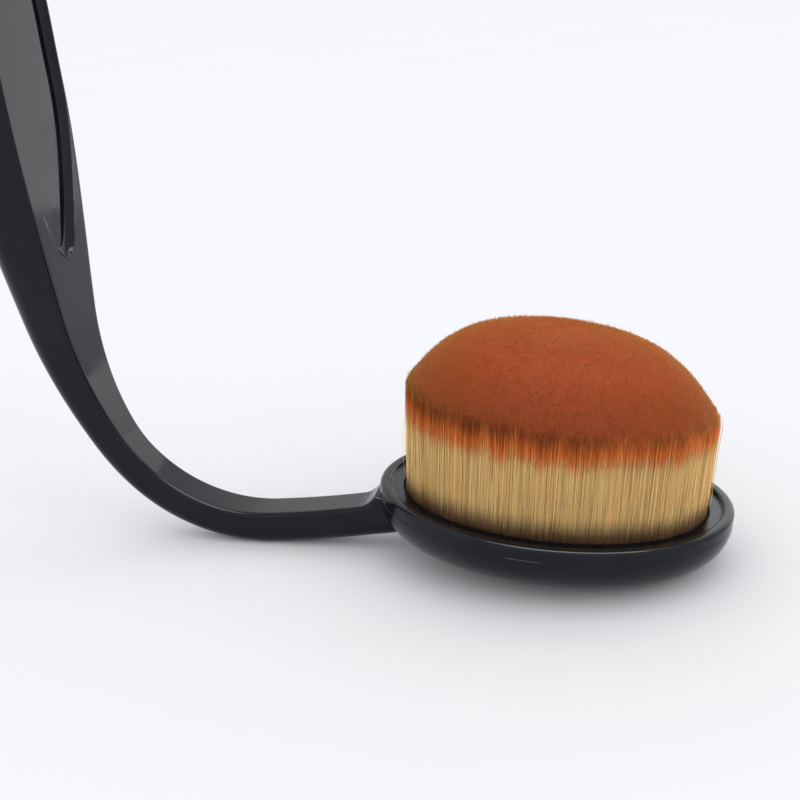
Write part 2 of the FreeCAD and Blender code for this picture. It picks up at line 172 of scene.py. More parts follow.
class HairSizes(bpy.types.PropertyGroup):
    length: length("Length", "Hair block's oval along the head", 0.0542)
    width: length("Width", "Hair block's oval across the head", 0.0365)
    root_level: length("Root level", "Roots above the back of the head", 0.00695)
    edge_rise: length("Edge rise", "Outer edge of the cut above the land", 0.0191)
    crown: length("Crown", "Dome above its outer edge", 0.0125)
    fullness: FloatProperty(name="Fullness", description="Power by which the dome falls away", default=3.5)
    flare: length("Flare", "How far outer filaments lean out", 0.00035)
    slope: angle("Slope", "Lean of the cut towards the tip", 2.9)
    dye_rise: length("Dye rise", "Where the dyed tips begin, above the land", 0.0143)
    thickness: length("Filament thickness", "Across one filament", 0.00012)
    layer: length("Layer", "Depth of the loose outer layer", 0.0007)
    side_count: count_of("Side filaments", "Filaments round the sides", 7000)
    crown_count: count_of("Crown filaments", "Tips in one crown piece", 16000)
    crown_pieces: count_of("Crown pieces", "Pieces that the tips are divided into", 3)
    fringe_count: count_of("Fringe filaments", "Longer tips that stand proud", 4200)
    seed: count_of("Seed", "Start of the random draws", 11)


class Finishes(bpy.types.PropertyGroup):
    black: colour("Gloss black", "Polished black of the handle", (0.0018, 0.0030, 0.0062))
    black_haze: colour("Black haze", "Lighter, handled patches", (0.0040, 0.0055, 0.0088))
    cream: colour("Cream", "Undyed filaments", (0.90, 0.545, 0.215))
    # painted shade: filaments close to the roots are drawn darker, for the shade that falls where they go
    # into the head
    painted_root_shade: colour("Painted root shade", "Filaments close to the roots", (0.27, 0.14, 0.07))
    amber: colour("Amber", "First stretch of the dye", (0.90, 0.205, 0.044))
    rust: colour("Rust", "Dyed tips on the crown", (0.40, 0.064, 0.015))
    # umber: partly the darker dye of the shoulder, partly painted shade on the shoulder's filaments
    umber_and_shade: colour("Umber", "Dyed tips on the shoulder", (0.28, 0.050, 0.012))


class StudioSizes(bpy.types.PropertyGroup):
    lens: FloatProperty(name="Lens", description="Focal length in millimetres", default=58.5)
    azimuth: angle("Azimuth", "Camera round the brush, from the front to the tip side", 12.83)
    elevation: angle("Elevation", "Camera above level", 20.94)
    roll: angle("Roll", "Camera's turn about its own axis", -3.11)
    distance: length("Distance", "Camera to the point it looks at", 0.23622)
    aim_back: length("Aim back", "Point looked at, behind the head's centre", 0.02708)
    aim_up: length("Aim up", "Point looked at, above the head's back", 0.02748)
    reach: length("Reach", "Floor in front of the brush, and behind it to the curve", 3.2)
    sweep: length("Sweep", "Radius of the backdrop's curve", 0.35)
    sky: share("Sky", "Brightness of the soft surround", 1.175)


# ---- mesh helpers ----


def leaned(points):
    """Points drawn with the head flat, turned by the head's lean about Y into the row frame."""
    turn = np.array(Matrix.Rotation(LEAN, 3, "Y"))
    return np.asarray(points, float) @ turn.T


def ease(fraction):
    """A smooth step from 0 to 1."""
    fraction = np.clip(fraction, 0.0, 1.0)
    return fraction * fraction * (3 - 2 * fraction)


def land_level():
    """Height of the flat land round the hair, above the back of the head."""
    head = bpy.context.scene.brush_head
    return head.dish_height + head.band_height - head.lip_rise


def grown_oval(margin):
    """Half length and half width of the hair's oval, grown by a margin."""
    hair = bpy.context.scene.brush_hair
    return hair.length / 2 + margin, hair.width / 2 + margin


def oval_place(half_length, half_width, turn):
    return half_length * np.cos(turn), half_width * np.sin(turn)


def quarter_round(count):
    """Shares of a rounding's radius, along and across, from one end of its quarter turn to the other."""
    return [(1 - math.cos(turn), 1 - math.sin(turn)) for turn in np.linspace(0, math.pi / 2, count)]


def mesh_object(name, points, faces):
    """A smooth-shaded object from points and a list of arrays of faces, each with one corner count."""
    mesh = bpy.data.meshes.new(name)
    points = np.asarray(points, np.float32)
    faces = [np.asarray(f, np.int32) for f in faces if len(f)]
    corners = np.concatenate([f.ravel() for f in faces])
    counts = np.concatenate([np.full(len(f), f.shape[1], np.int32) for f in faces])
    starts = np.concatenate([[0], np.cumsum(counts)[:-1]]).astype(np.int32)
    mesh.vertices.add(len(points))
    mesh.vertices.foreach_set("co", points.ravel())
    mesh.loops.add(len(corners))
    mesh.loops.foreach_set("vertex_index", corners)
    mesh.polygons.add(len(counts))
    mesh.polygons.foreach_set("loop_start", starts)
    mesh.polygons.foreach_set("use_smooth", np.ones(len(counts), bool))
    mesh.update(calc_edges=True)
    mesh.validate()
    piece = bpy.data.objects.new(name, mesh)
    bpy.context.scene.collection.objects.link(piece)
    return piece


def grid_faces(rows, columns, closed_rows=False):
    """Quads over a grid of points whose columns run round and close."""
    last = rows if closed_rows else rows - 1
    row, column = np.meshgrid(np.arange(last), np.arange(columns), indexing="ij")
    row, column = row.ravel(), column.ravel()
    after = (column + 1) % columns
    above = (row + 1) % rows
    return np.stack(
        [row * columns + column, row * columns + after, above * columns + after, above * columns + column], 1
    )


def fan_faces(ring_start, columns, centre, outwards):
    """Triangles from a ring of points to its centre point."""
    here = ring_start + np.arange(columns)
    after = ring_start + (np.arange(columns) + 1) % columns
    middle = np.full(columns, centre)
    return np.stack([here, after, middle] if outwards else [after, here, middle], 1)


def capped_faces(rows, columns):
    """Faces over a grid of points that the centre points of its first and last rows follow."""
    return [
        grid_faces(rows, columns),
        fan_faces(0, columns, rows * columns, False),
        fan_faces((rows - 1) * columns, columns, rows * columns + 1, True),
    ]


OVAL_SEGMENTS = 288


def oval_ring(half_length, half_width, level):
    turn = np.linspace(0, 2 * math.pi, OVAL_SEGMENTS, endpoint=False)
    return np.stack([*oval_place(half_length, half_width, turn), np.full(OVAL_SEGMENTS, level)], 1)


def oval_solid(name, rings):
    """A closed solid through ovals of half length, half width and level, from the bottom up."""
    points = [oval_ring(*ring) for ring in rings]
    points += [[(0, 0, rings[0][2])], [(0, 0, rings[-1][2])]]
    return mesh_object(name, leaned(np.concatenate(points)), capped_faces(len(rings), OVAL_SEGMENTS))


def combine(piece, other, operation):
    """Applies an exact boolean with other, and removes other."""
    change = piece.modifiers.new("combine", "BOOLEAN")
    change.operation = operation
    change.object = other
    change.solver = "EXACT"
    graph = bpy.context.evaluated_depsgraph_get()
    result = bpy.data.meshes.new_from_object(piece.evaluated_get(graph))
    piece.modifiers.clear()
    old = piece.data
    piece.data = result
    result.name = old.name
    bpy.data.meshes.remove(old)
    bpy.data.objects.remove(other)
    if not len(result.polygons):
        raise RuntimeError(f"{piece.name}: the boolean left nothing")


def keep_creases(piece, degrees):
    """Shades the edges sharp that turn by more than an angle."""
    piece.data.set_sharp_from_angle(angle=math.radians(degrees))


def finish_piece(piece, material, slot, *nodes):
    """Gives a piece its material and body, and hides the imported nodes that it stands for. slot is not
    used.
    """
    piece.data.materials.clear()
    piece.data.materials.append(material)
    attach(piece, "root")
    if nodes:
        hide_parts(*nodes)


# ---- node groups and materials ----


class Tree:
    """Short calls for building a node tree."""

    def __init__(self, tree):
        self.tree = tree

    def node(self, kind, values=None, **settings):
        made = self.tree.nodes.new(kind)
        for key, value in settings.items():
            setattr(made, key, value)
        for key, value in (values or {}).items():
            self.feed(made.inputs[key], value)
        return made

    def feed(self, socket, value):
        if isinstance(value, bpy.types.NodeSocket):
            self.tree.links.new(value, socket)
        else:
            socket.default_value = value

    def math(self, operation, first, second=0.0):
        return self.node("ShaderNodeMath", {0: first, 1: second}, operation=operation).outputs[0]

    def add(self, first, second):
        return self.math("ADD", first, second)

    def times(self, first, second):
        return self.math("MULTIPLY", first, second)

    def scaled(self, vector, factors):
        return self.node("ShaderNodeVectorMath", {0: vector, 1: factors}, operation="MULTIPLY").outputs[0]

    def noise(self, vector, detail=2.0, roughness=0.5, scale=1.0):
        values = {"Vector": vector, "Scale": scale, "Detail": detail, "Roughness": roughness}
        return self.node("ShaderNodeTexNoise", values).outputs["Fac"]

    def remap(self, value, low, high, to_low=0.0, to_high=1.0, kind="SMOOTHSTEP"):
        values = {"Value": value, "From Min": low, "From Max": high, "To Min": to_low, "To Max": to_high}
        return self.node("ShaderNodeMapRange", values, interpolation_type=kind).outputs["Result"]

    def mix(self, factor, first, second):
        made = self.node("ShaderNodeMix", data_type="RGBA")
        for place, value in ((0, factor), (6, first), (7, second)):
            if isinstance(value, (tuple, list)):
                value = (*value[:3], 1.0)
            self.feed(made.inputs[place], value)
        return made.outputs[2]


def new_group(name, inputs, outputs):
    """A shader node group with named sockets: (name, socket type, default)."""
    group = bpy.data.node_groups.new(name, "ShaderNodeTree")
    for socket_name, kind, default in inputs:
        socket = group.interface.new_socket(name=socket_name, in_out="INPUT", socket_type=kind)
        socket.default_value = default
    for socket_name, kind in outputs:
        group.interface.new_socket(name=socket_name, in_out="OUTPUT", socket_type=kind)
    tree = Tree(group)
    entry = tree.node("NodeGroupInput")
    leave = tree.node("NodeGroupOutput")
    return group, tree, entry.outputs, leave.inputs


FLOAT, COLOUR = "NodeSocketFloat", "NodeSocketColor"


def moulded_group():
    """Handled, moulded surface: soft patches, fine grain and a few specks of dust."""
    if "moulded_surface" in bpy.data.node_groups:
        return bpy.data.node_groups["moulded_surface"]
    group, tree, given, result = new_group(
        "moulded_surface",
        [
            ("Colour", COLOUR, (0.01, 0.01, 0.01, 1)),
            ("Patch Colour", COLOUR, (0.02, 0.02, 0.02, 1)),
            ("Patch Size", FLOAT, 0.012),
            ("Smoothest", FLOAT, 0.08),
            ("Roughest", FLOAT, 0.16),
            ("Grain Size", FLOAT, 0.0006),
            ("Dust", FLOAT, 0.2),
        ],
        [("Colour", COLOUR), ("Roughness", FLOAT), ("Height", FLOAT)],
    )
    place = tree.node("ShaderNodeTexCoord").outputs["Object"]
    patch_scale = tree.math("DIVIDE", 1.0, given["Patch Size"])
    patch_noise = tree.noise(place, 4.0, 0.6, patch_scale)
    patches = tree.remap(patch_noise, 0.42, 0.68)
    grain_scale = tree.math("DIVIDE", 1.0, given["Grain Size"])
    grain = tree.noise(place, 2.0, 0.5, grain_scale)
    cells = tree.node("ShaderNodeTexVoronoi", {"Vector": place, "Scale": 420.0}, feature="F1")
    speck = tree.remap(cells.outputs["Distance"], 0.035, 0.02)
    chosen = tree.node("ShaderNodeSeparateColor", {"Color": cells.outputs["Color"]}).outputs[0]
    rare = tree.math("GREATER_THAN", chosen, 0.93)
    dust = tree.times(tree.times(speck, rare), given["Dust"])
    tone = tree.mix(patches, given["Colour"], given["Patch Colour"])
    tree.feed(result["Colour"], tree.mix(dust, tone, (0.42, 0.42, 0.44)))
    rough = tree.remap(patches, 0.0, 1.0, given["Smoothest"], given["Roughest"], "LINEAR")
    tree.feed(result["Roughness"], tree.add(rough, tree.times(dust, 0.5)))
    tree.feed(result["Height"], tree.add(grain, tree.times(dust, 2.0)))
    return group


# noise cells per metre across, across and along the filaments
FINE_STREAKS, LOCK_STREAKS, CLUMP_STREAKS = (5200, 5200, 90), (1100, 1100, 25), (260, 260, 12)
# where each colour gives way to the next, in metres: from the land, round dye_rise, past edge_rise
# the painted shade at the roots fades out over this rise above the land
ROOT_SHADE = (0.0003, 0.0048)
AMBER_BAND = (-0.0022, 0.0018)
# the umber band round the shoulder is partly dye, partly painted shade
SHOULDER_DYE_AND_SHADE_BAND = (0.0008, 0.0004)
RUST_RISE = 0.0020
# where umber, partly painted shade, gives way to rust, as shares of the way out from the block's middle
RUST_SHARES = (0.99, 0.66)


def filament_group():
    """Colour of dipped filaments by their place in the block: painted shade at the roots, cream shafts, a
    ragged change to amber, umber darkened with painted shade on the dome's shoulder and rust on its crown,
    in fine upright streaks."""
    if "dipped_filaments" in bpy.data.node_groups:
        return bpy.data.node_groups["dipped_filaments"]
    hair = bpy.context.scene.brush_hair
    group, tree, given, result = new_group(
        "dipped_filaments",
        [
            ("Cream", COLOUR, (0.6, 0.4, 0.2, 1)),
            ("Cream Shade", COLOUR, (0.3, 0.2, 0.1, 1)),
            ("Amber", COLOUR, (0.6, 0.2, 0.05, 1)),
            ("Rust", COLOUR, (0.3, 0.08, 0.02, 1)),
            ("Umber", COLOUR, (0.2, 0.05, 0.02, 1)),
            ("Ragged", FLOAT, 0.004),
            ("Streak Contrast", FLOAT, 0.35),
        ],
        [("Colour", COLOUR), ("Roughness", FLOAT), ("Height", FLOAT)],
    )
    place = tree.node("ShaderNodeTexCoord").outputs["Object"]
    flat = tree.node(
        "ShaderNodeVectorRotate", {"Vector": place, "Angle": -LEAN}, rotation_type="Y_AXIS"
    ).outputs[0]
    parts = tree.node("ShaderNodeSeparateXYZ", {0: flat}).outputs
    rise = tree.math("SUBTRACT", parts["Z"], land_level())
    across = tree.math("POWER", tree.math("DIVIDE", parts["Y"], hair.width / 2), 2.0)
    along = tree.math("POWER", tree.math("DIVIDE", parts["X"], hair.length / 2), 2.0)
    outward = tree.math("SQRT", tree.add(across, along))
    fine = tree.noise(tree.scaled(flat, FINE_STREAKS), 1.0)
    locks = tree.noise(tree.scaled(flat, LOCK_STREAKS), 2.0)
    clumps = tree.noise(tree.scaled(flat, CLUMP_STREAKS), 1.0)
    wander = tree.add(tree.times(fine, 0.35), tree.times(locks, 0.65))
    wander = tree.add(wander, tree.times(clumps, 0.5))
    drift = tree.times(tree.math("SUBTRACT", wander, 0.75), given["Ragged"])
    level = tree.add(rise, drift)
    dye = hair.dye_rise
    # painted shade: the cream darkens towards the roots, where shade falls between the filaments
    shade = tree.remap(tree.add(rise, tree.times(drift, 0.35)), *ROOT_SHADE)
    shaft = tree.mix(shade, given["Cream Shade"], given["Cream"])
    dyed = tree.mix(tree.remap(level, dye + AMBER_BAND[0], dye + AMBER_BAND[1]), shaft, given["Amber"])
    # the dome's shoulder is drawn darker all round: umber dye with painted shade on it
    shoulder_dye_and_shade_share = tree.remap(level, dye + SHOULDER_DYE_AND_SHADE_BAND[0], hair.edge_rise + SHOULDER_DYE_AND_SHADE_BAND[1])
    edge = tree.mix(shoulder_dye_and_shade_share, dyed, given["Umber"])
    top = tree.remap(tree.add(outward, tree.times(drift, 14.0)), *RUST_SHARES)
    above = tree.remap(level, hair.edge_rise, hair.edge_rise + RUST_RISE)
    crown = tree.mix(tree.times(top, above), edge, given["Rust"])
    streak = tree.add(tree.times(fine, 0.6), tree.times(locks, 0.4))
    swing = tree.times(tree.math("SUBTRACT", streak, 0.5), given["Streak Contrast"])
    gain = tree.add(tree.times(swing, 2.0), 1.0)
    lit = tree.node("ShaderNodeVectorMath", {0: crown, "Scale": gain}, operation="SCALE").outputs[0]
    tree.feed(result["Colour"], lit)
    tree.feed(result["Roughness"], tree.remap(fine, 0.2, 0.8, 0.45, 0.68, "LINEAR"))
    tree.feed(result["Height"], streak)
    return group


def shader_material(name, group, values, bump, fixed):
    """A material whose colour, roughness and bump come from a node group placed with its own values,
    and whose other sockets hold plain numbers."""
    material = bpy.data.materials.new(name)
    material.use_nodes = True
    tree = Tree(material.node_tree)
    shader = material.node_tree.nodes["Principled BSDF"]
    effect = tree.node("ShaderNodeGroup", node_tree=group)
    for key, value in values.items():
        effect.inputs[key].default_value = (*value, 1.0) if hasattr(value, "__len__") else value
    tree.feed(shader.inputs["Base Color"], effect.outputs["Colour"])
    tree.feed(shader.inputs["Roughness"], effect.outputs["Roughness"])
    strength, distance = bump
    relief = tree.node(
        "ShaderNodeBump", {"Strength": strength, "Distance": distance, "Height": effect.outputs["Height"]}
    )
    tree.feed(shader.inputs["Normal"], relief.outputs[0])
    for key, value in fixed.items():
        shader.inputs[key].default_value = value
    return material


def plastic(name, base, patch, roughness, patch_size=0.012, grain=0.0007, bump=(0.05, 0.00002), dust=0.25,
            **fixed):
    values = {
        "Colour": base, "Patch Colour": patch, "Patch Size": patch_size, "Smoothest": roughness[0],
        "Roughest": roughness[1], "Grain Size": grain, "Dust": dust,
    }
    return shader_material(name, moulded_group(), values, bump, fixed)


def gloss_black(name):
    finish = bpy.context.scene.brush_finish
    return plastic(name, tuple(finish.black), tuple(finish.black_haze), (0.055, 0.13), IOR=1.31)


def hair_material(name, contrast=0.13, relief=0.0):
    """Dipped filaments, with the contrast of their streaks and the strength of the bump."""
    finish = bpy.context.scene.brush_finish
    values = {
        "Cream": tuple(finish.cream), "Cream Shade": tuple(finish.painted_root_shade), "Amber": tuple(finish.amber),
        "Rust": tuple(finish.rust), "Umber": tuple(finish.umber_and_shade), "Ragged": 0.0070,
        "Streak Contrast": contrast,
    }
    fixed = {"Specular IOR Level": 0.1, "Subsurface Weight": 0.35, "Subsurface Scale": 0.0012}
    return shader_material(name, filament_group(), values, (relief, 0.0001), fixed)


# ---- handle: grip, neck and dish in one moulding ----

SPANS = ("neck", "elbow", "rise", "grip", "tail")
# metres between the arm's sections below the scoop and along it, and the least gap kept
NECK_STEP, SCOOP_STEP, LEAST_GAP = 0.0007, 0.0006, 0.00004
# the scoop's wall: its run at the nose as a multiple of scoop_wall, how much of that goes further up,
# the power of its curve, and the share of its run over which it rolls in from the face
NOSE_WALL, NOSE_EXTRA, WALL_POWER, WALL_TOE = 2.2, 1.2, 2.2, 0.15
# metres along the spine within which the scoop's nearest edge is looked for, and searched past its ends
EDGE_SEARCH, END_SEARCH = 0.012, 0.001
# where the front edges begin to soften, after the scoop's start, and over what length
ROLL_DELAY, ROLL_RUN = 0.001, 0.024
# share of the thickness left at the tail's rim, and the length over which the scoop's points spread
TAIL_RIM, GUIDE_RUN = 0.35, 0.004


def spine(sizes, along):
    """Place and direction at a distance along the spine, drawn with the head flat."""
    head = bpy.context.scene.brush_head
    x = sizes.inset - head.length / 2
    z = sizes.level
    turn = sizes.start_angle
    if along < 0:
        return x - along * math.cos(turn), z + along * math.sin(turn), turn
    for span in SPANS:
        run = getattr(sizes, span + "_run")
        radius = run / getattr(sizes, span + "_bend")
        part = min(run, along)
        turned = turn + part / radius
        x -= radius * (math.sin(turned) - math.sin(turn))
        z -= radius * (math.cos(turned) - math.cos(turn))
        turn = turned
        along -= part
        if along <= 0:
            break
    return x, z, turn


def spine_length(sizes):
    return sum(getattr(sizes, span + "_run") for span in SPANS)


def girth(sizes, along):
    """Width and thickness of the arm at distances along the spine."""
    end = spine_length(sizes)
    flared = ease((along - sizes.flare_start) / (sizes.flare_end - sizes.flare_start))
    tailed = ease((along - sizes.tail_start) / (end - sizes.tail_start))
    width = sizes.neck_width + (sizes.grip_width - sizes.neck_width) * flared
    thick = sizes.neck_thick + (sizes.grip_thick - sizes.neck_thick) * flared
    return width + (sizes.tail_width - width) * tailed, thick + (sizes.tail_thick - thick) * tailed


def scoop_half_width(sizes, along):
    """Half the scoop's width: a round nose, an opening stretch, an even land, and a round end."""
    width, _ = girth(sizes, along)
    from_start = along - sizes.scoop_start
    to_end = sizes.scoop_end - along
    nose = sizes.scoop_nose
    full = width / 2 - sizes.scoop_land
    end_round = sizes.tail_width / 2 - sizes.scoop_land
    opened = np.clip((from_start - 0.5 * nose) / sizes.scoop_spread, 0, 1)
    opening = nose + (full - nose) * (1 - (1 - opened) ** 2)
    nose_share = np.sqrt(np.clip(1 - np.clip(1 - from_start / nose, 0, 1) ** 2, 0, 1))
    end_share = np.sqrt(np.clip(1 - np.clip(1 - to_end / end_round, 0, 1) ** 2, 0, 1))
    inside = (from_start > 0) & (to_end > 0)
    return np.where(inside, opening * nose_share * end_share, 0.0)


def arm_stations(sizes):
    """Distances along the spine at which the arm has a section, close together where it changes fast."""
    end = spine_length(sizes)
    cap = sizes.tail_width / 2
    end_round = sizes.tail_width / 2 - sizes.scoop_land
    quarter = np.linspace(0, math.pi / 2, 15)
    stations = [
        np.linspace(-sizes.root, 0, 6),
        np.linspace(0, sizes.flange_run, 14),
        np.arange(sizes.flange_run, sizes.scoop_start, NECK_STEP),
        sizes.scoop_start + sizes.scoop_nose * (1 - np.cos(quarter)),
        np.arange(sizes.scoop_start + sizes.scoop_nose, sizes.scoop_end - end_round, SCOOP_STEP),
        sizes.scoop_end - end_round + end_round * np.sin(np.linspace(0, math.pi / 2, 26)),
        end - cap + cap * np.sin(np.linspace(0, math.radians(88), 22)),
    ]
    joined = np.sort(np.concatenate(stations))
    gaps = np.diff(joined, prepend=-1.0)
    return joined[gaps > LEAST_GAP]


def scoop_drop(sizes, along, across, half):
    """Depth of the scoop at each point of the front, by its distance from the scoop's outline."""
    fine = np.concatenate([
        np.linspace(sizes.scoop_start, sizes.scoop_start + 2 * sizes.scoop_nose, 160),
        np.linspace(sizes.scoop_start + 2 * sizes.scoop_nose, sizes.scoop_end, 700),
    ])
    edge = scoop_half_width(sizes, fine)
    outline = np.concatenate([np.stack([fine, edge], 1), np.stack([fine, -edge], 1)])
    depth = np.zeros(across.shape)
    searched = (along > sizes.scoop_start - END_SEARCH) & (along < sizes.scoop_end + END_SEARCH)
    for row in np.nonzero(searched)[0]:
        near = outline[np.abs(outline[:, 0] - along[row]) < EDGE_SEARCH]
        gap = np.hypot(near[None, :, 0] - along[row], near[None, :, 1] - across[row][:, None]).min(1)
        gap = np.where(np.abs(across[row]) < half[row], gap, -gap)
        opened = ease((along[row] - sizes.scoop_start) / (3 * sizes.scoop_nose))
        share_in = np.clip(gap / (sizes.scoop_wall * (NOSE_WALL - NOSE_EXTRA * opened)), 0, 1)
        depth[row] = sizes.scoop_depth * (1 - (1 - share_in) ** WALL_POWER) * ease(share_in / WALL_TOE)
    return depth


def arm_rows(sizes):
    """Every section of the arm as rows of points round it, in the frame with the head flat."""
    along = arm_stations(sizes)
    end = spine_length(sizes)
    width, thick = girth(sizes, along)
    out = np.where(along < sizes.flange_run, 1 - np.clip(along, 0, None) / sizes.flange_run, 0.0) ** 2
    width = width + (sizes.flange_width - width) * out
    sunk = np.clip(-along, 0, None) / sizes.root
    front = (thick / 2 + sizes.flange_rise * out) * (1 - sunk * (1 - sizes.root_share))
    cap = sizes.tail_width / 2
    blunt = np.sqrt(np.clip(1 - (np.clip(along - (end - cap), 0, None) / cap) ** 2, 0, 1))
    thin = TAIL_RIM + (1 - TAIL_RIM) * np.sqrt(blunt)
    width, front, back = width * blunt, front * thin, thick / 2 * thin
    rolled = ease((along - sizes.scoop_start - ROLL_DELAY) / ROLL_RUN)
    corner_wide = (sizes.edge_round + (sizes.rolled_width - sizes.edge_round) * rolled) * blunt
    corner_deep = (sizes.edge_round + (sizes.rolled_depth - sizes.edge_round) * rolled) * thin
    # roundings stop short of the section's middle, and the scoop's points short of the corner
    corner_deep = np.minimum(corner_deep, 0.8 * front)
    back_round = np.minimum(sizes.back_round * thick * thin, 0.48 * width)
    flat = width / 2 - corner_wide
    half = scoop_half_width(sizes, along)
    near_start = np.clip(np.abs(along - sizes.scoop_start) / GUIDE_RUN, 0.02, 1)
    near_end = np.clip(np.abs(along - sizes.scoop_end) / GUIDE_RUN, 0.02, 1)
    guide = np.where(half > 0, np.maximum(half, 0.02 * flat), 0.5 * flat * np.minimum(near_start, near_end))
    guide = np.minimum(guide, 0.995 * flat)
    inner = 1 - (1 - np.linspace(0, 1, 25)) ** 1.5
    outer = np.linspace(0, 1, 6)[1:]
    right = np.concatenate([guide[:, None] * inner, guide[:, None] + (flat - guide)[:, None] * outer], 1)
    across = np.concatenate([-right[:, :0:-1], right], 1)
    rise = front[:, None] - scoop_drop(sizes, along, across, half)

    def corner(turns, centre_u, centre_v, wide, deep):
        return (
            centre_u[:, None] + wide[:, None] * np.cos(turns),
            centre_v[:, None] + deep[:, None] * np.sin(turns),
        )

    def straight(first, last, count):
        steps = np.linspace(0, 1, count + 2)[1:-1]
        return first[:, None] + (last - first)[:, None] * steps

    quarter = np.linspace(math.pi / 2, 0, 11)[1:]
    front_u, front_v = corner(quarter, flat, front - corner_deep, corner_wide, corner_deep)
    side_v = straight(front - corner_deep, back_round - back, 6)
    side_u = np.repeat((width / 2)[:, None], 6, 1)
    lower = np.linspace(0, -math.pi / 2, 12)
    back_u, back_v = corner(lower, width / 2 - back_round, back_round - back, back_round, back_round)
    back_flat = straight(width / 2 - back_round, back_round - width / 2, 12)
    right_u = np.concatenate([front_u, side_u, back_u], 1)
    right_v = np.concatenate([front_v, side_v, back_v], 1)
    u = np.concatenate([across, right_u, back_flat, -right_u[:, ::-1]], 1)
    v = np.concatenate([rise, right_v, np.repeat(-back[:, None], 12, 1), right_v[:, ::-1]], 1)
    rows = []
    for distance, row_u, row_v in zip(along, u, v):
        x, z, turn = spine(sizes, distance)
        rows.append(np.stack([x + row_v * math.sin(turn), row_u, z + row_v * math.cos(turn)], 1))
    return np.array(rows)


def arm_object(sizes):
    rows = arm_rows(sizes)
    points = np.concatenate([rows.reshape(-1, 3), rows[:1].mean(1), rows[-1:].mean(1)])
    return mesh_object("handle_shell", leaned(points), capped_faces(*rows.shape[:2]))


class BRUSH_OT_handle(bpy.types.Operator):
    """Build the handle: grip with its thumb scoop, neck, and the dish of the head"""

    bl_idname = "brush.handle"
    bl_label = "Handle"

    def execute(self, context):
        sizes, head = context.scene.brush_handle, context.scene.brush_head
        bowl = []
        for turn in np.linspace(0, math.pi / 2, 19):
            grown = math.sin(turn)
            half_length = head.back_length + (head.length - head.back_length) * grown
            half_width = head.back_width + (head.width - head.back_width) * grown
            bowl.append((half_length / 2, half_width / 2, head.dish_height * (1 - math.cos(turn))))
        bevel = head.seam_bevel
        bowl[-1] = (head.length / 2, head.width / 2, head.dish_height - bevel)
        bowl.append((head.length / 2 - bevel, head.width / 2 - bevel, head.dish_height))
        piece = arm_object(sizes)
        combine(piece, oval_solid("dish", bowl), "UNION")
        above = head.dish_height + head.band_height
        rebate_floor = head.dish_height - head.rebate_depth
        well = oval_solid(
            "well",
            [
                (*grown_oval(head.well_margin), head.well_floor),
                (*grown_oval(head.well_margin), rebate_floor),
                (*grown_oval(head.rebate_margin), rebate_floor),
                (*grown_oval(head.rebate_margin), above),
            ],
        )
        combine(piece, well, "DIFFERENCE")
        keep_creases(piece, 38)
        finish_piece(piece, gloss_black("polished_black"), "gloss_black", "handle")
        return {"FINISHED"}


class BRUSH_OT_lip_ring(bpy.types.Operator):
    """Build the trim ring: outer band, rounded lip, flat land, window and spigot"""

    bl_idname = "brush.lip_ring"
    bl_label = "Lip ring"

    def execute(self, context):
        head = context.scene.brush_head
        outer = (head.length / 2, head.width / 2)
        top = head.dish_height + head.band_height
        land = land_level()
        under = land - head.land_thick
        inner_round = 0.5 * head.lip_rise
        foot_round = 0.35 * head.lip_rise
        edge_round = 0.25 * head.land_thick

        def from_outside(margin, level):
            return outer[0] - margin, outer[1] - margin, level

        def from_hair(margin, level):
            return (*grown_oval(margin), level)

        band_low, band_high = head.dish_height + head.seam_bevel, top - head.lip_round
        profile = [from_outside(head.seam_bevel, head.dish_height), from_outside(0, band_low)]
        for step in np.linspace(0, 1, 4)[1:-1]:
            profile.append(from_outside(0, band_low + (band_high - band_low) * step))
        for along, across in quarter_round(13):
            profile.append(from_outside(head.lip_round * along, top - head.lip_round * across))
        for along, across in quarter_round(9):
            profile.append(from_outside(head.lip_width - inner_round * across, top - inner_round * along))
        for along, across in quarter_round(6):
            profile.append(from_outside(head.lip_width + foot_round * along, land + foot_round * across))
        window = head.window_gap
        land_start, land_end = profile[-1], from_hair(window + edge_round, land)
        for step in (0.25, 0.5, 0.75):
            profile.append(tuple(a + (b - a) * step for a, b in zip(land_start, land_end)))
        for along, across in quarter_round(7):
            profile.append(from_hair(window + edge_round * across, land - edge_round * along))
        spigot_outer = head.rebate_margin - head.spigot_gap
        spigot_bore = spigot_outer - head.spigot_wall
        foot = head.dish_height - head.spigot_length
        profile += [
            from_hair(window, under), from_hair(spigot_bore, under), from_hair(spigot_bore, foot),
            from_hair(spigot_outer, foot), from_hair(spigot_outer, head.dish_height),
        ]
        points = np.concatenate([oval_ring(*ring) for ring in profile])
        faces = [grid_faces(len(profile), OVAL_SEGMENTS, closed_rows=True)]
        piece = mesh_object("lip_ring", leaned(points), faces)
        keep_creases(piece, 40)
        finish_piece(piece, gloss_black("polished_black_ring"), "gloss_black_ring", "head_bezel")
        return {"FINISHED"}


# ---- hair ----

HAIR_SEGMENTS = 720
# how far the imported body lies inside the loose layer, as a share of the layer
CORE_SHARE = 0.45
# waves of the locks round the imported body, and the most they stand out, in metres
LOCK_WAVES, LOCK_DEPTH = (23, 41, 67, 113, 179, 240), 0.00012
# spreads of the draws for the side filaments, in metres: lean, cut, bend and where the dye begins
LEAN_SPREAD, CUT_SPREAD, BEND_SPREAD, DYE_SPREAD = 0.00022, 0.00028, 0.00010, 0.0009
# spreads of the draws for the crown's tips, in metres: height and splay
TIP_SPREAD, SPLAY_SPREAD = 0.00016, 0.00012
# the proud tips, in metres: mean and greatest height above the cut, tilt, and how deep their roots lie
PROUD_MEAN, PROUD_MOST, PROUD_TILT, PROUD_DEPTH = 0.00022, 0.0011, 0.00025, 0.0030
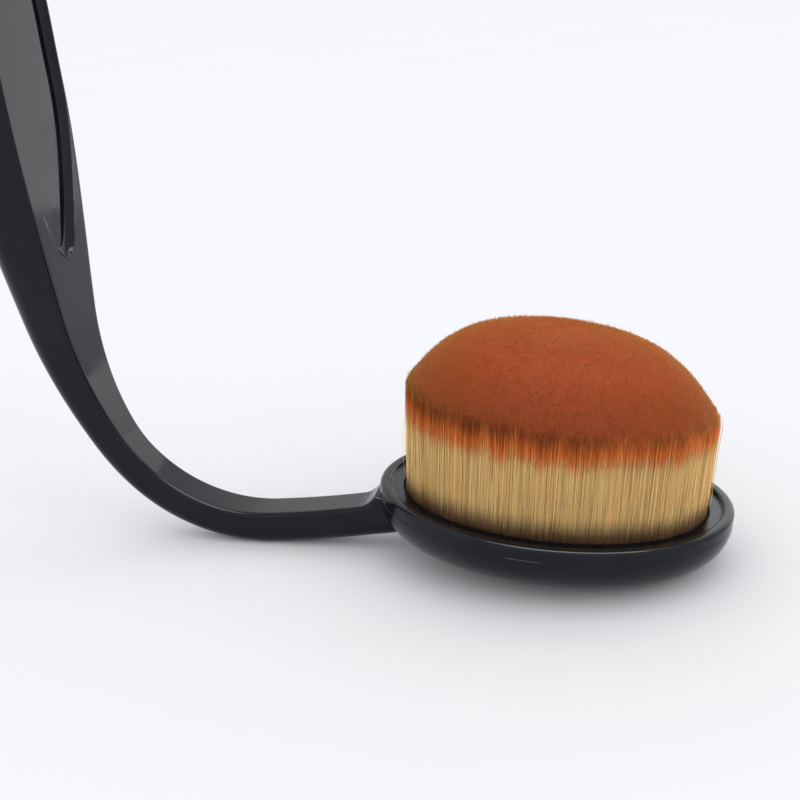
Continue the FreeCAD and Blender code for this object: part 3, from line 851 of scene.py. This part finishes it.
# two strays at the neck's end that are always there: turn round the block, height and distance from it
PLACED_STRAYS = ((math.radians(176), 0.0165, 0.0011), (math.radians(183), 0.0125, 0.0008))
DRAWN_STRAYS = 26


def rim_level(x):
    """Height of the cut's outer edge above the back of the head, at a place along the head."""
    hair = bpy.context.scene.brush_hair
    return land_level() + hair.edge_rise - x * math.tan(hair.slope)


def dome_level(x, y):
    """Height of the cut top above the back of the head, at a place across the block."""
    hair = bpy.context.scene.brush_hair
    half_length, half_width = grown_oval(hair.flare)
    out = np.clip(np.hypot(x / half_length, y / half_width), 0, 1)
    return rim_level(x) + hair.crown * (1 - out ** hair.fullness)


def filaments(name, roots, tips, radius, bend, stations, tip_share=0.2, taper_from=0.55, seed=0):
    """Three-sided filaments from roots to tips. bend moves the middle sideways; each tapers from
    taper_from of its length to tip_share of its radius."""
    draw = np.random.default_rng(seed)
    count = len(roots)
    steps = np.asarray(stations, float)
    line = roots[:, None] + (tips - roots)[:, None] * steps[None, :, None]
    line = line + bend[:, None] * (4 * steps * (1 - steps))[None, :, None]
    thin = np.where(steps < taper_from, 1.0, 1 - (1 - tip_share) * ((steps - taper_from) / (1 - taper_from)))
    turn = draw.uniform(0, 2 * math.pi, count)[:, None] + np.arange(3) * 2 * math.pi / 3
    ring = np.stack([np.cos(turn), np.sin(turn), np.zeros_like(turn)], 2)
    points = line[:, :, None] + ring[:, None] * (radius[:, None] * thin)[:, :, None, None]
    rows = len(steps)
    base = (np.arange(count) * rows * 3)[:, None]
    low, high = [0, 2, 1], [3 * rows - 3, 3 * rows - 2, 3 * rows - 1]
    quads = []
    for row in range(rows - 1):
        for side in range(3):
            after = (side + 1) % 3
            quads.append([3 * row + side, 3 * row + after, 3 * row + 3 + after, 3 * row + 3 + side])
    quads = (base[:, :, None] + np.array(quads)[None]).reshape(-1, 4)
    caps = (base[:, :, None] + np.array([low, high])[None]).reshape(-1, 3)
    return mesh_object(name, leaned(points.reshape(-1, 3)), [quads, caps])


class BRUSH_OT_hair_core(bpy.types.Operator):
    """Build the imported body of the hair, just inside the loose outer filaments"""

    bl_idname = "brush.hair_core"
    bl_label = "Hair core"

    def execute(self, context):
        hair = context.scene.brush_hair
        draw = np.random.default_rng(hair.seed)
        inset = CORE_SHARE * hair.layer
        turn = np.linspace(0, 2 * math.pi, HAIR_SEGMENTS, endpoint=False)
        locks = np.zeros(HAIR_SEGMENTS)
        for waves in LOCK_WAVES:
            locks += np.cos(waves * turn + draw.uniform(0, 2 * math.pi)) * draw.uniform(0.4, 1.0)
        locks = locks / np.abs(locks).max() * LOCK_DEPTH
        rows = []
        for step in np.linspace(0, 1, 13):
            grow = hair.flare * step - inset
            x, y = oval_place(hair.length / 2 + grow + locks, hair.width / 2 + grow + locks, turn)
            top = rim_level(x) - inset
            rows.append(np.stack([x, y, hair.root_level + (top - hair.root_level) * step], 1))
        half_length, half_width = grown_oval(hair.flare - inset)
        for part in 1 - np.linspace(0, 1, 30)[1:-1] ** 1.6:
            x, y = oval_place((half_length + locks * part) * part, (half_width + locks * part) * part, turn)
            rows.append(np.stack([x, y, dome_level(x, y) - inset], 1))
        top = [(0, 0, dome_level(0, 0) - inset)]
        points = np.concatenate([*rows, [(0, 0, hair.root_level)], top])
        piece = mesh_object("hair_core", leaned(points), capped_faces(len(rows), HAIR_SEGMENTS))
        finish_piece(piece, hair_material("packed_filaments", relief=0.3), "hair", "hair_bundle")
        return {"FINISHED"}


class BRUSH_OT_side_filaments(bpy.types.Operator):
    """Build the loose filaments round the sides: cream shafts, and the dyed ends that go on from them"""

    bl_idname = "brush.side_filaments"
    bl_label = "Side filaments"

    def execute(self, context):
        hair = context.scene.brush_hair
        draw = np.random.default_rng(hair.seed + 1)
        count = hair.side_count
        turn = draw.uniform(0, 2 * math.pi, count)
        depth = hair.layer * draw.uniform(0, 1, count) ** 1.3
        lean = draw.normal(0, LEAN_SPREAD, (count, 2))
        base = oval_place(*grown_oval(-depth), turn)
        top_x, top_y = oval_place(*grown_oval(hair.flare - depth), turn)
        top_x, top_y = top_x + lean[:, 0], top_y + lean[:, 1]
        top_z = dome_level(top_x, top_y) + draw.normal(0, CUT_SPREAD, count)
        roots = np.stack([*base, np.full(count, hair.root_level)], 1)
        tips = np.stack([top_x, top_y, top_z], 1)
        bend_x, bend_y = draw.normal(0, BEND_SPREAD, count), draw.normal(0, BEND_SPREAD, count)
        bend = np.stack([bend_x, bend_y, np.zeros(count)], 1)
        radius = hair.thickness / 2 * draw.uniform(0.75, 1.2, count)
        change = land_level() + hair.dye_rise + draw.normal(0, DYE_SPREAD, count)
        split = np.clip((change - roots[:, 2]) / (tips[:, 2] - roots[:, 2]), 0.2, 0.92)
        middle = roots + (tips - roots) * split[:, None] + bend * (4 * split * (1 - split))[:, None]
        halves = (
            ("cream_filaments", roots, middle, (0, 0.3, 0.65, 1), 1.0),
            ("dyed_filaments", middle, tips, (0, 0.35, 0.7, 1), 0.25),
        )
        for name, first, last, stations, tip_share in halves:
            piece = filaments(name, first, last, radius, bend * 0.2, stations, tip_share, 0.3, hair.seed + 2)
            finish_piece(piece, hair_material("loose_" + name), "hair")
        return {"FINISHED"}


class BRUSH_OT_crown_filaments(bpy.types.Operator):
    """Build the tips that make up the domed top"""

    bl_idname = "brush.crown_filaments"
    bl_label = "Crown filaments"

    def execute(self, context):
        hair = context.scene.brush_hair
        half_length, half_width = grown_oval(hair.flare)
        material = hair_material("crown_tips", contrast=0.30)
        for number in range(hair.crown_pieces):
            seed = hair.seed + 10 + number
            draw = np.random.default_rng(seed)
            count = hair.crown_count
            turn = draw.uniform(0, 2 * math.pi, count)
            out = draw.uniform(0, 1, count) ** 0.44 * 0.998
            x, y = oval_place(half_length * out, half_width * out, turn)
            proud = draw.normal(0, TIP_SPREAD, count)
            reach = 0.0020 + 0.0022 * out ** 6
            tips = np.stack([x, y, dome_level(x, y) + proud], 1)
            splay = draw.normal(0, SPLAY_SPREAD, (count, 2))
            roots = tips - np.stack([splay[:, 0] + 0.012 * x, splay[:, 1] + 0.012 * y, reach], 1)
            radius = hair.thickness / 2 * draw.uniform(0.8, 1.25, count)
            name, bend = f"crown_filaments_{number + 1}", np.zeros((count, 3))
            piece = filaments(name, roots, tips, radius, bend, (0, 0.6, 1), 0.3, 0.5, seed)
            finish_piece(piece, material, "hair")
        return {"FINISHED"}


class BRUSH_OT_fringe(bpy.types.Operator):
    """Build the few filaments that stand proud of the cut, and the strays beside the block"""

    bl_idname = "brush.fringe"
    bl_label = "Fringe and strays"

    def execute(self, context):
        hair = context.scene.brush_hair
        draw = np.random.default_rng(hair.seed + 30)
        half_length, half_width = grown_oval(hair.flare)
        count = hair.fringe_count
        turn = draw.uniform(0, 2 * math.pi, count)
        out = draw.uniform(0, 1, count) ** 0.25
        x, y = oval_place(half_length * out, half_width * out, turn)
        level = dome_level(x, y)
        proud = np.minimum(draw.exponential(PROUD_MEAN, count), PROUD_MOST)
        tilt = draw.normal(0, PROUD_TILT, (count, 2))
        tips = np.stack([x + tilt[:, 0], y + tilt[:, 1], level + proud], 1)
        roots = np.stack([x * 0.985, y * 0.985, level - PROUD_DEPTH], 1)
        radius = hair.thickness / 2 * draw.uniform(0.4, 0.65, count)
        bend, stations = np.zeros((count, 3)), (0, 0.5, 1)
        piece = filaments("proud_filaments", roots, tips, radius, bend, stations, 0.25, 0.3, hair.seed + 31)
        finish_piece(piece, hair_material("proud_tips"), "hair")

        land, placed = land_level(), np.array(PLACED_STRAYS)
        turns = np.concatenate([placed[:, 0], draw.uniform(0, 2 * math.pi, DRAWN_STRAYS)])
        heights = np.concatenate([placed[:, 1], draw.uniform(0.006, 0.017, DRAWN_STRAYS)])
        away = np.concatenate([placed[:, 2], draw.uniform(0.0002, 0.0007, DRAWN_STRAYS)])
        count = len(turns)
        roots = np.stack([*oval_place(*grown_oval(0.0001), turns), np.full(count, land - 0.0004)], 1)
        tips = np.stack([*oval_place(*grown_oval(away), turns), land + heights], 1)
        bend = np.stack([*oval_place(0.0006, 0.0006, turns), np.zeros(count)], 1)
        radius = np.full(count, hair.thickness * 0.3)
        stations = np.linspace(0, 1, 9)
        piece = filaments("stray_filaments", roots, tips, radius, bend, stations, 0.3, 0.4, hair.seed + 32)
        finish_piece(piece, hair_material("stray_tips"), "hair")
        return {"FINISHED"}


class BRUSH_OT_inner_parts(bpy.types.Operator):
    """Give the parts inside the head their finishes: tray, adhesives and the resin round the roots"""

    bl_idname = "brush.inner_parts"
    bl_label = "Inner parts"

    def execute(self, context):
        glue = plastic("cured_adhesive", (0.52, 0.47, 0.34), (0.60, 0.54, 0.38), (0.22, 0.38),
                       patch_size=0.004, grain=0.0012, bump=(0.25, 0.0001), dust=0.05)
        tray = plastic("satin_tray", (0.018, 0.018, 0.020), (0.026, 0.026, 0.029), (0.42, 0.55),
                       patch_size=0.008, grain=0.0003, bump=(0.3, 0.00004), dust=0.1)
        resin = plastic("root_resin", (0.20, 0.10, 0.035), (0.30, 0.17, 0.07), (0.18, 0.40),
                        patch_size=0.002, grain=0.0004, bump=(0.4, 0.0001), dust=0.0)
        for node, material in (
            ("bezel_adhesive", glue), ("tray_adhesive", glue), ("hair_tray", tray), ("root_bond", resin),
        ):
            data = frame["nodes"][node].data
            data.materials.clear()
            data.materials.append(material)
        return {"FINISHED"}


# ---- studio ----

# the sheet's half width, as a multiple of its reach, and the two tones that drift over it
SHEET_SPREAD = 1.6
SHEET_TONES = (0.795, 0.802, 0.820), (0.800, 0.807, 0.825)
SURROUND_TINT = (0.98, 0.985, 1.0, 1.0)
# name, place, width, depth, watts, tint, and whether it shows as a reflection or else gives light
LAMPS = (
    ("top_card", (0.05, 0.22, 0.50), 0.45, 0.10, 0.45, (1, 1, 1), True),
    ("front_card", (0.06, -0.10, 0.50), 0.50, 0.22, 2.4, (1, 1, 1), True),
    ("back_card", (0.14, 0.22, 0.12), 0.23, 0.24, 0.16, (1, 1, 1), True),
    ("side_fill", (0.65, -0.45, 0.50), 0.60, 0.60, 0.8, (1.0, 0.97, 0.92), False),
)


def backdrop_object(studio):
    """One pale sheet: floor in front and to the sides, then a smooth curve up behind."""
    reach, radius = studio.reach, studio.sweep
    curve = np.linspace(0, math.pi / 2, 25)
    depth = np.concatenate([[-reach, 0.0], reach + radius * np.sin(curve), [reach + radius]])
    height = np.concatenate([[0.0, 0.0], radius * (1 - np.cos(curve)), [2 * radius]])
    sides = (-SHEET_SPREAD * reach, SHEET_SPREAD * reach)
    points = [(side, y, FLOOR_LEVEL + z) for y, z in zip(depth, height) for side in sides]
    rows = np.arange(len(depth) - 1) * 2
    faces = [np.stack([rows, rows + 1, rows + 3, rows + 2], 1)]
    return mesh_object("studio_sheet", points, faces)


def sheet_material():
    material = bpy.data.materials.new("studio_paper")
    material.use_nodes = True
    tree = Tree(material.node_tree)
    shader = material.node_tree.nodes["Principled BSDF"]
    place = tree.node("ShaderNodeTexCoord").outputs["Object"]
    tone = tree.remap(tree.noise(place, 3.0, 0.5, 9.0), 0.3, 0.7)
    tree.feed(shader.inputs["Base Color"], tree.mix(tone, *SHEET_TONES))
    shader.inputs["Roughness"].default_value = 0.9
    shader.inputs["Specular IOR Level"].default_value = 0.0
    return material


def add_light(aim, name, place, wide, deep, power, tint, reflected):
    """A rectangular lamp out of the camera's sight, which shows only as a reflection or only gives light."""
    lamp = bpy.data.lights.new(name, "AREA")
    lamp.shape = "RECTANGLE"
    lamp.size, lamp.size_y = wide, deep
    lamp.energy = power
    lamp.color = tint
    holder = bpy.data.objects.new(name, lamp)
    holder.location = place
    holder.rotation_euler = (Vector(aim) - Vector(place)).to_track_quat("-Z", "Y").to_euler()
    holder.visible_camera = False
    holder.visible_glossy = reflected
    holder.visible_diffuse = not reflected
    bpy.context.scene.collection.objects.link(holder)


class BRUSH_OT_studio(bpy.types.Operator):
    """Build the studio: pale sheet, soft surround, softboxes and the camera"""

    bl_idname = "brush.studio"
    bl_label = "Studio"

    def execute(self, context):
        scene, studio = context.scene, context.scene.brush_studio
        sheet = backdrop_object(studio)
        sheet.data.materials.append(sheet_material())
        world = bpy.data.worlds.new("soft_surround")
        world.use_nodes = True
        background = world.node_tree.nodes["Background"]
        background.inputs["Color"].default_value = SURROUND_TINT
        background.inputs["Strength"].default_value = studio.sky
        scene.world = world
        aim = Vector((-0.5 * studio.aim_back, 0, 0.5 * studio.aim_up))
        for lamp in LAMPS:
            add_light(aim, *lamp)
        scene.view_settings.view_transform = "Standard"

        back = Vector((
            math.sin(studio.azimuth) * math.cos(studio.elevation),
            -math.cos(studio.azimuth) * math.cos(studio.elevation),
            math.sin(studio.elevation),
        ))
        lens = bpy.data.cameras.new("camera")
        lens.lens = studio.lens
        lens.clip_start, lens.clip_end = 0.01, 20.0
        camera = bpy.data.objects.new("camera", lens)
        scene.collection.objects.link(camera)
        right = Vector((math.cos(studio.azimuth), math.sin(studio.azimuth), 0))
        up = back.cross(right)
        facing = Matrix((right, up, back)).transposed() @ Matrix.Rotation(studio.roll, 3, "Z")
        place = Vector((-studio.aim_back, 0, studio.aim_up)) + back * studio.distance
        camera.matrix_world = Matrix.Translation(place) @ facing.to_4x4()
        scene.camera = camera
        return {"FINISHED"}


class BRUSH_PT_panel(bpy.types.Panel):
    """Lists the brush's pieces in the sidebar"""

    bl_label = "Oval Brush"
    bl_idname = "BRUSH_PT_panel"
    bl_space_type = "VIEW_3D"
    bl_region_type = "UI"
    bl_category = "Oval Brush"

    def draw(self, context):
        column = self.layout.column()
        for operator in OPERATORS:
            column.operator(operator.bl_idname)
        for group in SETTINGS:
            settings = getattr(context.scene, group)
            for name in settings.bl_rna.properties.keys():
                if name not in ("rna_type", "name"):
                    column.prop(settings, name)


OPERATORS = (
    BRUSH_OT_handle,
    BRUSH_OT_lip_ring,
    BRUSH_OT_hair_core,
    BRUSH_OT_side_filaments,
    BRUSH_OT_crown_filaments,
    BRUSH_OT_fringe,
    BRUSH_OT_inner_parts,
    BRUSH_OT_studio,
)
SETTINGS = {
    "brush_head": HeadSizes,
    "brush_handle": HandleSizes,
    "brush_hair": HairSizes,
    "brush_finish": Finishes,
    "brush_studio": StudioSizes,
}


def register():
    for settings_class in SETTINGS.values():
        bpy.utils.register_class(settings_class)
    for name, settings_class in SETTINGS.items():
        setattr(bpy.types.Scene, name, PointerProperty(type=settings_class))
    for operator in OPERATORS:
        bpy.utils.register_class(operator)
    bpy.utils.register_class(BRUSH_PT_panel)


def unregister():
    bpy.utils.unregister_class(BRUSH_PT_panel)
    for operator in reversed(OPERATORS):
        bpy.utils.unregister_class(operator)
    for name in SETTINGS:
        delattr(bpy.types.Scene, name)
    for settings_class in reversed(SETTINGS.values()):
        bpy.utils.unregister_class(settings_class)


def main():
    register()
    bpy.ops.brush.handle()
    bpy.ops.brush.lip_ring()
    bpy.ops.brush.hair_core()
    bpy.ops.brush.side_filaments()
    bpy.ops.brush.crown_filaments()
    bpy.ops.brush.fringe()
    bpy.ops.brush.inner_parts()
    bpy.ops.brush.studio()


if __name__ == "__main__":
    main()
